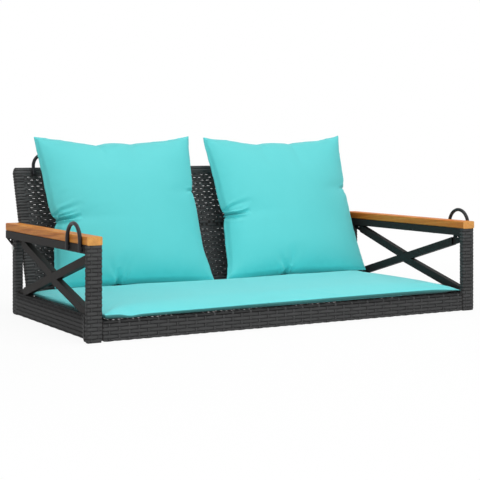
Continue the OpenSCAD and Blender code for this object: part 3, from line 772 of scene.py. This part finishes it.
def build_side_panel(resin, side, way):
    """The low panel between an arm's posts: rows from front to back, and stakes round them."""
    inner, outer, low, top = 508.2, 529.8, 0.3, 57.8
    box = [(inner, low), (outer, low), (outer, top), (inner, top)]
    skin = Skin(box, FRONT_ORIGIN, (way, 0, 0), UP, BACKWARDS, radius=5, closed=True)
    count, dark_above = 16, 41
    pitch = skin.length / count
    rows = [pitch * (k + 0.5) for k in range(count)]
    post, rear_post, margin = 17, 503.6, 8
    stakes = spaced(post + margin, rear_post - margin, STAKE_PITCH)
    gap = stakes[1] - stakes[0]
    level, lift = -1.55, 0.3
    row_heights = np.interp(rows, skin.fine, skin.points[:, 1])

    def row_shade(index):
        """The rows under the top edge get the darkest tint, a painted shade below the edge; the other rows
        get a darker tint too, painted shade on the panel's side face.
        """
        return (-2.6, -2.3) if row_heights[index] > dark_above else (-1.0, -0.1)

    lengthwise = strands(f"{side}_panel_rows", skin, rows, (post - 1, rear_post + 1),
                         over_under(gap, stakes[0], lift, level), width=9.6, thick=2.5, steps=82,
                         drift=0.15, seed=32 + way, shade=row_shade)
    # the stakes' darker tint is painted shade on the panel's side face too
    around = strands(f"{side}_panel_stakes", skin, stakes, (0, skin.length),
                     over_under(pitch, rows[0], lift, level, sign=-1), width=6.2, thick=1.2, steps=72,
                     round_path=True, sides=6, drift=0.15, seed=36 + way, shade=(-1.5, -1))
    for piece in (lengthwise, around):
        swell_to_post(piece, way)
        fit_weave(resin, f"{side}_side_weave", piece)


# ---- Making cushions ----

def cushion_start(name, place, columns, rows):
    """A closed bag of two faces joined at their edges, before it is stuffed. place(u, v, face) gives
    a face's points for u and v from -1 to 1."""
    made = bmesh.new()
    for face in (1, -1):
        before = set(made.verts)
        bmesh.ops.create_grid(made, x_segments=columns, y_segments=rows, size=1)
        fresh = [v for v in made.verts if v not in before]
        flat = np.array([tuple(v.co) for v in fresh])
        for vertex, spot in zip(fresh, place(flat[:, 0], flat[:, 1], face)):
            vertex.co = spot
    bmesh.ops.remove_doubles(made, verts=made.verts, dist=0.0004)
    bmesh.ops.recalc_face_normals(made, faces=made.faces)
    return finished(name, made)


def blow_up(piece, start, pressure, held, growth):
    """The cover blown up as cloth, from its start, while the seam holds some of its points."""
    last_frame = 20
    group = piece.vertex_groups.new(name="seam")
    for index in np.nonzero(held(start))[0]:
        group.add([int(index)], 1.0, "REPLACE")
    cloth = piece.modifiers.new("stuffing", "CLOTH")
    settings = cloth.settings
    settings.quality = 3
    settings.mass = 0.25
    settings.tension_stiffness = settings.compression_stiffness = 12
    settings.bending_stiffness = 0.6
    settings.use_pressure = True
    settings.uniform_pressure_force = pressure
    settings.vertex_group_mass = "seam"
    settings.shrink_min = -growth
    settings.effector_weights.gravity = 0
    cloth.collision_settings.use_collision = False
    cloth.point_cache.frame_start, cloth.point_cache.frame_end = 1, last_frame
    for number in range(1, last_frame + 1):
        bpy.context.scene.frame_set(number)
    apply_all(piece)
    bpy.context.scene.frame_set(1)
    piece.vertex_groups.clear()


def stuff(piece, voxel, pressure, cap, held, growth=0.0, smoothing=2):
    """The cover remeshed, blown up and evened out, with no point moved further than the cap.
    held(points) says which points the seam holds."""
    remesh = piece.modifiers.new("remesh", "REMESH")
    remesh.mode = "VOXEL"
    remesh.voxel_size = voxel
    apply_all(piece)
    start = coordinates(piece.data)
    blow_up(piece, start, pressure, held, growth)
    even = piece.modifiers.new("even", "SMOOTH")
    even.factor, even.iterations = 0.5, smoothing
    apply_all(piece)
    moved = coordinates(piece.data) - start
    far = np.linalg.norm(moved, axis=1)[:, None] + 1e-9
    put_coordinates(piece.data, start + moved / far * cap * np.tanh(far / cap))


def drawn(flat, height, corners, reach, pull, thin):
    """Corners of a cushion drawn out to points: how the flat places move, and how flat it gets."""
    flat, flatness = flat.copy(), np.ones(len(flat))
    for corner in corners:
        gap = np.array(corner, float) - flat
        near = np.exp(-np.sum(gap ** 2, axis=1) / reach ** 2)
        flat += gap * (pull * near)[:, None]
        flatness *= 1 - thin * near
    return flat, height * flatness


# ---- The seat cushion ----

def pad_start(u, v, face):
    """The seat cushion's two faces. Its sides draw in a little between its corners."""
    drawn_in_front, drawn_in_sides, rise = 3, 4, 6
    across = u * PAD_HALF
    depth = PAD_FRONT + (PAD_REAR - PAD_FRONT) * (v + 1) / 2
    depth -= drawn_in_front * (1 - u ** 2) * np.sign(v) * np.abs(v) ** 6
    across -= drawn_in_sides * (1 - v ** 2) * np.sign(u) * np.abs(u) ** 8
    edge = np.minimum((1 - np.abs(u) ** 40) ** 0.5, (1 - np.abs(v) ** 20) ** 0.5)
    under = np.minimum((1 - np.abs(u) ** 90) ** 0.5, (1 - np.abs(v) ** 44) ** 0.5)
    crown = (1 - u ** 6) * (1 - v ** 8)
    top = PAD_SEAM + (PAD_HIGH - PAD_SEAM) * edge + rise * crown
    bottom = PAD_SEAM - (PAD_SEAM - PAD_LOW) * under
    return np.stack([across, depth - HALF_DEPTH, top if face > 0 else bottom], 1) / METRE


def pad_held(co):
    """The seat cushion's points that stay: those at its seam and below, and its underside."""
    margin, underside = 8, 0.0497
    rim = ((np.abs(co[:, 0]) > (PAD_HALF - margin) / METRE)
           | (co[:, 1] < (PAD_FRONT + margin - HALF_DEPTH) / METRE)
           | (co[:, 1] > (PAD_REAR - margin - HALF_DEPTH) / METRE))
    return (rim & (co[:, 2] < (PAD_SEAM + 1) / METRE)) | (co[:, 2] < underside)


def pad_sag(across, depth):
    """How far the seat cushion's front edge sinks: towards the left, near the left post and at the
    right corner. Its left end stays up. The sag dies away behind the edge."""
    lean = np.clip(0.5 - 0.0062 * across, -1.3, 3.2)
    by_left_post = 2.2 * np.exp(-((across + 437) / 16) ** 2)
    right_corner = 6.5 * np.clip((across - 405) / 100, 0, 1) ** 1.5
    left_end = 3 / (1 + np.exp((across + 456) / 5))
    fade = np.exp(-((depth - PAD_FRONT) / 28) ** 2)
    return (lean + by_left_post + (right_corner - left_end)) * fade


def mark_hem_shade(pad, up, depth):
    """The above_seam value that the fabric reads, which places its painted shade below the front seam. The
    shade shows only along the front, so further back every point counts as above the seam."""
    front_strip, well_above = 12, 1
    above = np.where(depth > PAD_FRONT + front_strip, np.abs(up) + well_above, up) / METRE
    mark = pad.data.attributes.new("above_seam", "FLOAT", "POINT")
    mark.data.foreach_set("value", above.astype(np.float32))


def build_pad(fabric):
    """The thin seat cushion: a soft top sewn to a low underside, with points at three of its corners.
    The front left corner is blunt."""
    pad = cushion_start("seat_cushion_cover", pad_start, 120, 60)
    stuff(pad, voxel=0.0055, pressure=3, cap=0.006, held=pad_held)
    co = coordinates(pad.data) * METRE
    corners = [(way * PAD_HALF, end - HALF_DEPTH)
               for way, end in ((1, PAD_FRONT), (-1, PAD_REAR), (1, PAD_REAR))]
    flat, up = drawn(co[:, :2], co[:, 2] - PAD_SEAM, corners, reach=15, pull=0.9, thin=0.35)
    # the front right corner is the flattest
    co[:, :2], up = drawn(flat, up, corners[:1], reach=46, pull=0, thin=0.75)
    depth = co[:, 1] + HALF_DEPTH
    mark_hem_shade(pad, up, depth)
    deeper_base, lowest = 1.2, 48.7
    full = np.where(up < 0, deeper_base * up, up)
    co[:, 2] = np.maximum(PAD_SEAM + full - pad_sag(co[:, 0], depth), lowest)
    put_coordinates(pad.data, co / METRE)
    soften(pad)
    fitted(pad, "seat_pad", fabric, "seat_cushion")
    return pad


# ---- The back cushions ----

# Their outlines, across from the middle and up from the backrest's top edge along its slope. The
# top and bottom run from left to right, and the sides upwards.
PILLOWS = {
    "left": {
        "top": [(-470, 67), (-440, 65), (-400, 59), (-350, 51), (-315, 46), (-297, 41.5), (-280, 47.5),
                (-247, 50.5), (-215, 48), (-197, 45.5), (-180, 49), (-140, 52.5), (-90, 57), (-50, 65),
                (-15, 70)],
        "right": [(-6, -343), (-14, -296), (-23.5, -257), (-25.5, -200), (-26, -145), (-28, -112),
                  (-34, -94), (-26, -70), (-23, -19), (-19, 28), (-15, 70)],
        "bottom": [(-462, -338), (-380, -342), (-305, -341), (-291, -334), (-277, -341), (-150, -343),
                   (-6, -343)],
        "left": [(-462, -338), (-456.5, -269), (-449.5, -210), (-446, -187), (-443.5, -177), (-437, -168),
                 (-431, -162), (-440, -156), (-449, -146), (-455, -106), (-457, -79), (-460, -39),
                 (-465, 2), (-470, 45), (-470, 67)],
    },
    "right": {
        "top": [(28, 66), (60, 63), (110, 57.5), (160, 49), (185, 46.5), (198, 44), (215, 48), (251, 50.5),
                (290, 48.5), (304, 45.5), (320, 50), (360, 53.5), (410, 57.5), (443, 65), (487, 72.5)],
        "right": [(495, -341), (488.5, -333), (489, -315), (487, -298), (484.5, -280), (480.5, -259),
                  (475.5, -214), (473, -159), (472, -120), (463, -97), (474, -75), (478, -20), (481, 26),
                  (487, 55), (487, 72.5)],
        "bottom": [(29, -343), (120, -343), (200, -341), (214, -334), (228, -341), (350, -342),
                   (495, -341)],
        "left": [(29, -343), (38.5, -297), (43, -234), (46, -196), (48, -182), (54, -169), (60, -162),
                 (54, -156), (46, -145), (43, -122), (41, -95), (39.5, -66), (36.5, -36), (32, -6),
                 (29, 20), (25, 48), (28, 66)],
    },
}

# Their folds: each one's line from the edge inwards, its width and its depth
FOLDS = {
    "left": [([(-440, -149), (-427, -141), (-404, -137), (-374, -129)], 5, 8),
             ([(-437, -162), (-421, -164), (-402, -164), (-382, -160)], 2.9, 31),
             ([(-432, -155), (-410, -154), (-392, -150)], 3, 6),
             ([(-442, -175), (-422, -177), (-397, -173)], 4.5, 4),
             ([(-33, -94), (-50, -96), (-75, -104)], 4, 9), ([(-38, -100), (-54, -112)], 4, 4),
             ([(-292, -338), (-298, -322), (-303, -302)], 5.5, 18),
             ([(-306, -326), (-315, -312), (-333, -280)], 6, 4),
             ([(-284, -328), (-278, -305), (-268, -280)], 6, 4),
             ([(-297, 38), (-292, 5)], 7, 3), ([(-197, 43), (-203, 12)], 7, 3)],
    "right": [([(51, -154), (68, -145), (86, -140), (124, -134)], 5, 9),
              ([(54, -162), (72, -166), (92, -166), (114, -161)], 2.9, 31),
              ([(56, -174), (74, -178), (98, -176)], 4.5, 5),
              ([(466, -95), (448, -98), (425, -106)], 4, 9), ([(462, -101), (446, -113)], 4, 4),
              ([(213, -338), (203, -322), (196, -302)], 5.5, 18),
              ([(196, -324), (186, -308), (170, -278)], 6, 4),
              ([(212, -326), (218, -305), (226, -282)], 6, 4),
              ([(198, 40), (204, 8)], 7, 3), ([(304, 43), (298, 12)], 7, 3)],
}


def from_back_axes(flat, behind):
    """Places in metres, from flat ones in the backrest's own axes and from how far they are behind
    the back cushions' middle plane."""
    out, up = PILLOW_MID + behind, flat[:, 1]
    return np.stack((flat[:, 0],
                     HALF_DEPTH + out * math.cos(RECLINE) + up * math.sin(RECLINE),
                     BACK_TOP_Z - out * math.sin(RECLINE) + up * math.cos(RECLINE)), 1) / METRE


def in_back_axes(co):
    """The way back: flat places in the backrest's own axes, and how far out of its rear face."""
    rel = co - np.array(BACK_ORIGIN) / METRE
    flat = np.stack([rel[:, 0], rel @ np.array(BACK_UP)], 1) * METRE
    return flat, (rel @ np.array(BACK_OUT)) * METRE


def evenly(points, count):
    """count + 1 points evenly spaced along the line through the given ones."""
    points = np.array(points, float)
    lengths = distances(points)
    places = np.linspace(0, lengths[-1], count + 1)
    return np.stack([np.interp(places, lengths, points[:, k]) for k in (0, 1)], 1)


def on_edge(line, at):
    """Points on an edge line of a cushion, at places from 0 to 1."""
    place = at * (len(line) - 1)
    low = np.clip(np.floor(place).astype(int), 0, len(line) - 2)
    rest = (place - low)[:, None]
    return line[low] * (1 - rest) + line[low + 1] * rest


def within(edges, u, v):
    """The points of a cushion's flat cut at u, v from 0 to 1, inside its four edge lines."""
    top, bottom = on_edge(edges["top"], u), on_edge(edges["bottom"], u)
    left, right = on_edge(edges["left"], v), on_edge(edges["right"], v)
    bl, br, tl, tr = edges["bottom"][0], edges["bottom"][-1], edges["top"][0], edges["top"][-1]
    u, v = u[:, None], v[:, None]
    return ((1 - v) * bottom + v * top + (1 - u) * left + u * right
            - ((1 - u) * (1 - v) * bl + u * (1 - v) * br + (1 - u) * v * tl + u * v * tr))


def from_seam(flat, seam):
    """How far flat places are from the seam, worked out in batches."""
    batches = 64
    return np.concatenate([np.sqrt(np.sum((some[:, None] - seam) ** 2, axis=2).min(axis=1))
                           for some in np.array_split(flat, batches)])


def crease(flat, line, width, depth):
    """How far a fold along a line presses into a cushion's face. It starts deep and dies away."""
    line = np.array(line, float)
    lengths = distances(line)
    best, along = np.full(len(flat), 1e9), np.zeros(len(flat))
    for start, end, run in zip(line[:-1], line[1:], lengths):
        way = end - start
        t = np.clip(((flat - start) @ way) / (way @ way), 0, 1)
        away = np.linalg.norm(flat - (start + t[:, None] * way), axis=1)
        along = np.where(away < best, run + t * np.linalg.norm(way), along)
        best = np.minimum(best, away)
    along /= lengths[-1]
    spread = width * (0.7 + 0.7 * along)
    # a groove with a low ridge on either side
    shape = np.exp(-(best / spread) ** 2) - 0.45 * np.exp(-((best - 2.1 * spread) / (1.1 * spread)) ** 2)
    return depth * (0.35 + 0.65 * (1 - along) ** 2) * (1 - along ** 3) * shape


def sewn(co, edges, seam):
    """The edge drawn in to a thin seam, and the corners to points."""
    thinnest, thin_width = 0.4, 12
    flat, out = in_back_axes(co)
    thin = thinnest + (1 - thinnest) * np.clip(from_seam(flat, seam) / thin_width, 0, 1)
    corners = [edges[edge][end] for edge in ("top", "bottom") for end in (0, -1)]
    flat, behind = drawn(flat, (out - PILLOW_MID) * thin, corners, reach=22, pull=0.95, thin=0.55)
    return from_back_axes(flat, behind)


def folded(co, side, seam):
    """Folds pressed into the front face, and a line of stitches just inside the edge."""
    flat, out = in_back_axes(co)
    behind = out - PILLOW_MID
    stitch_line, stitch_width = 6, 2.2
    stitches = np.exp(-((from_seam(flat, seam) - stitch_line) / stitch_width) ** 2)
    front_ends, fades = 4, 12
    front = np.clip((front_ends - behind) / fades, 0, 1)
    behind += front * (sum(crease(flat, *fold) for fold in FOLDS[side]) + stitches)
    return from_back_axes(flat, behind)


def settled(co, pad):
    """The cushion at rest on the backrest behind it and on the seat cushion below."""
    back_gap, pad_gap = 1.0, 0.0008
    near_pad, above_pad = 0.095, 0.2
    over = np.maximum(in_back_axes(co)[1] - (-BACK_T - back_gap), 0)
    co = co - np.array(BACK_OUT) * over[:, None] / METRE
    tree = BVHTree.FromObject(pad, bpy.context.evaluated_depsgraph_get())
    for index in np.nonzero(co[:, 2] < near_pad)[0]:
        hit = tree.ray_cast(Vector((co[index, 0], co[index, 1], above_pad)), Vector((0, 0, -1)))[0]
        if hit is not None and co[index, 2] < hit.z + pad_gap:
            co[index, 2] = hit.z + pad_gap
    return co


def build_pillow(side, fabric, pad):
    """A back cushion with a knife edge, leaning on the backrest."""
    edges = {edge: evenly(points, 96) for edge, points in PILLOWS[side].items()}
    seam = np.concatenate(list(edges.values()))

    def pillow_start(u, v, face):
        """Fullest in the middle, and fuller low down, with a thin rim at its edge."""
        flat = within(edges, (u + 1) / 2, (v + 1) / 2)
        power = np.where(v < 0, 2 + 3 * (1 - np.abs(u) ** 3), 2)
        crown = ((1 - u ** 2) * (1 - np.abs(v) ** power)) ** 0.6
        front_full, rear_full, half_rim = 63, 54, 4.5
        rim = half_rim * (1 - np.maximum(np.abs(u), np.abs(v)) ** 26) ** 0.5
        behind = -(front_full * crown + rim) if face > 0 else rear_full * crown + rim
        return from_back_axes(flat, behind)

    def pillow_held(co):
        """The points within 5 mm of its seam stay."""
        return from_seam(in_back_axes(co)[0], seam) < 5

    pillow = cushion_start(f"{side}_back_cushion_cover", pillow_start, 64, 60)
    stuff(pillow, voxel=0.0048, pressure=4, cap=0.014, held=pillow_held, growth=0.004, smoothing=12)
    put_coordinates(pillow.data, sewn(coordinates(pillow.data), edges, seam))
    soften(pillow)
    apply_all(pillow)
    creased = folded(coordinates(pillow.data), side, seam)
    put_coordinates(pillow.data, settled(creased, pad))
    fitted(pillow, f"{side}_pillow", fabric, f"{side}_back_cushion")


# ---- Everything together ----

def finish_of(name):
    """Which finish a CAD piece has."""
    if name.endswith("arm_board"):
        return "wood"
    if name.endswith("_loop"):
        return "loop"
    if name.endswith("_foot") or name == "arm_tube_caps":
        return "plastic"
    if name in ("seat_bolts", "backrest_bolts", "arm_board_screws"):
        return "zinc"
    return "steel"


def dress_cad(finishes):
    """The CAD pieces that stay, given their finishes."""
    for name, node in nodes.items():
        if node.hide_render:
            continue
        finish = finishes[finish_of(name)]
        for index in range(max(1, len(node.data.materials))):
            if index < len(node.material_slots):
                node.material_slots[index].material = finish
            else:
                node.data.materials.append(finish)


def build_weave(resin):
    """Every woven piece."""
    build_apron(resin)
    build_deck(resin)
    build_back_sheet(resin)
    build_back_bands(resin)
    build_back_borders(resin)
    for side, way in SIDES.items():
        build_front_wrap(resin, side, way)
        build_rear_wrap(resin, side, way)
    for side, way in SIDES.items():
        build_side_panel(resin, side, way)


def build_cushions():
    """The seat cushion, and then the two back cushions that rest on it."""
    # the seat cushion's cloth is the back cushions' cloth made paler: painted light on its upward face
    seat_fabric = cushion_fabric("seat_cushion_fabric", lean=0, sheen=0.25,
                                 deep=rgb(0.131, 0.742, 0.762), pale=rgb(0.167, 0.838, 0.860),
                                 hem_shade=rgb(0.045, 0.255, 0.252))
    back_fabric = cushion_fabric("back_cushion_fabric", lean=RECLINE, sheen=0.12,
                                 deep=rgb(0.108, 0.650, 0.662), pale=rgb(0.142, 0.735, 0.748))
    pad = build_pad(seat_fabric)
    for side in SIDES:
        build_pillow(side, back_fabric, pad)


set_camera()
lay_floor()
set_surround()
set_lamps()
bpy.context.scene.view_settings.view_transform = "Standard"
build_weave(woven_resin())
build_cushions()
dress_cad({"wood": oiled_wood(), "plastic": black_plastic(), "zinc": zinc_steel(),
           "steel": black_steel(), "loop": loop_enamel()})
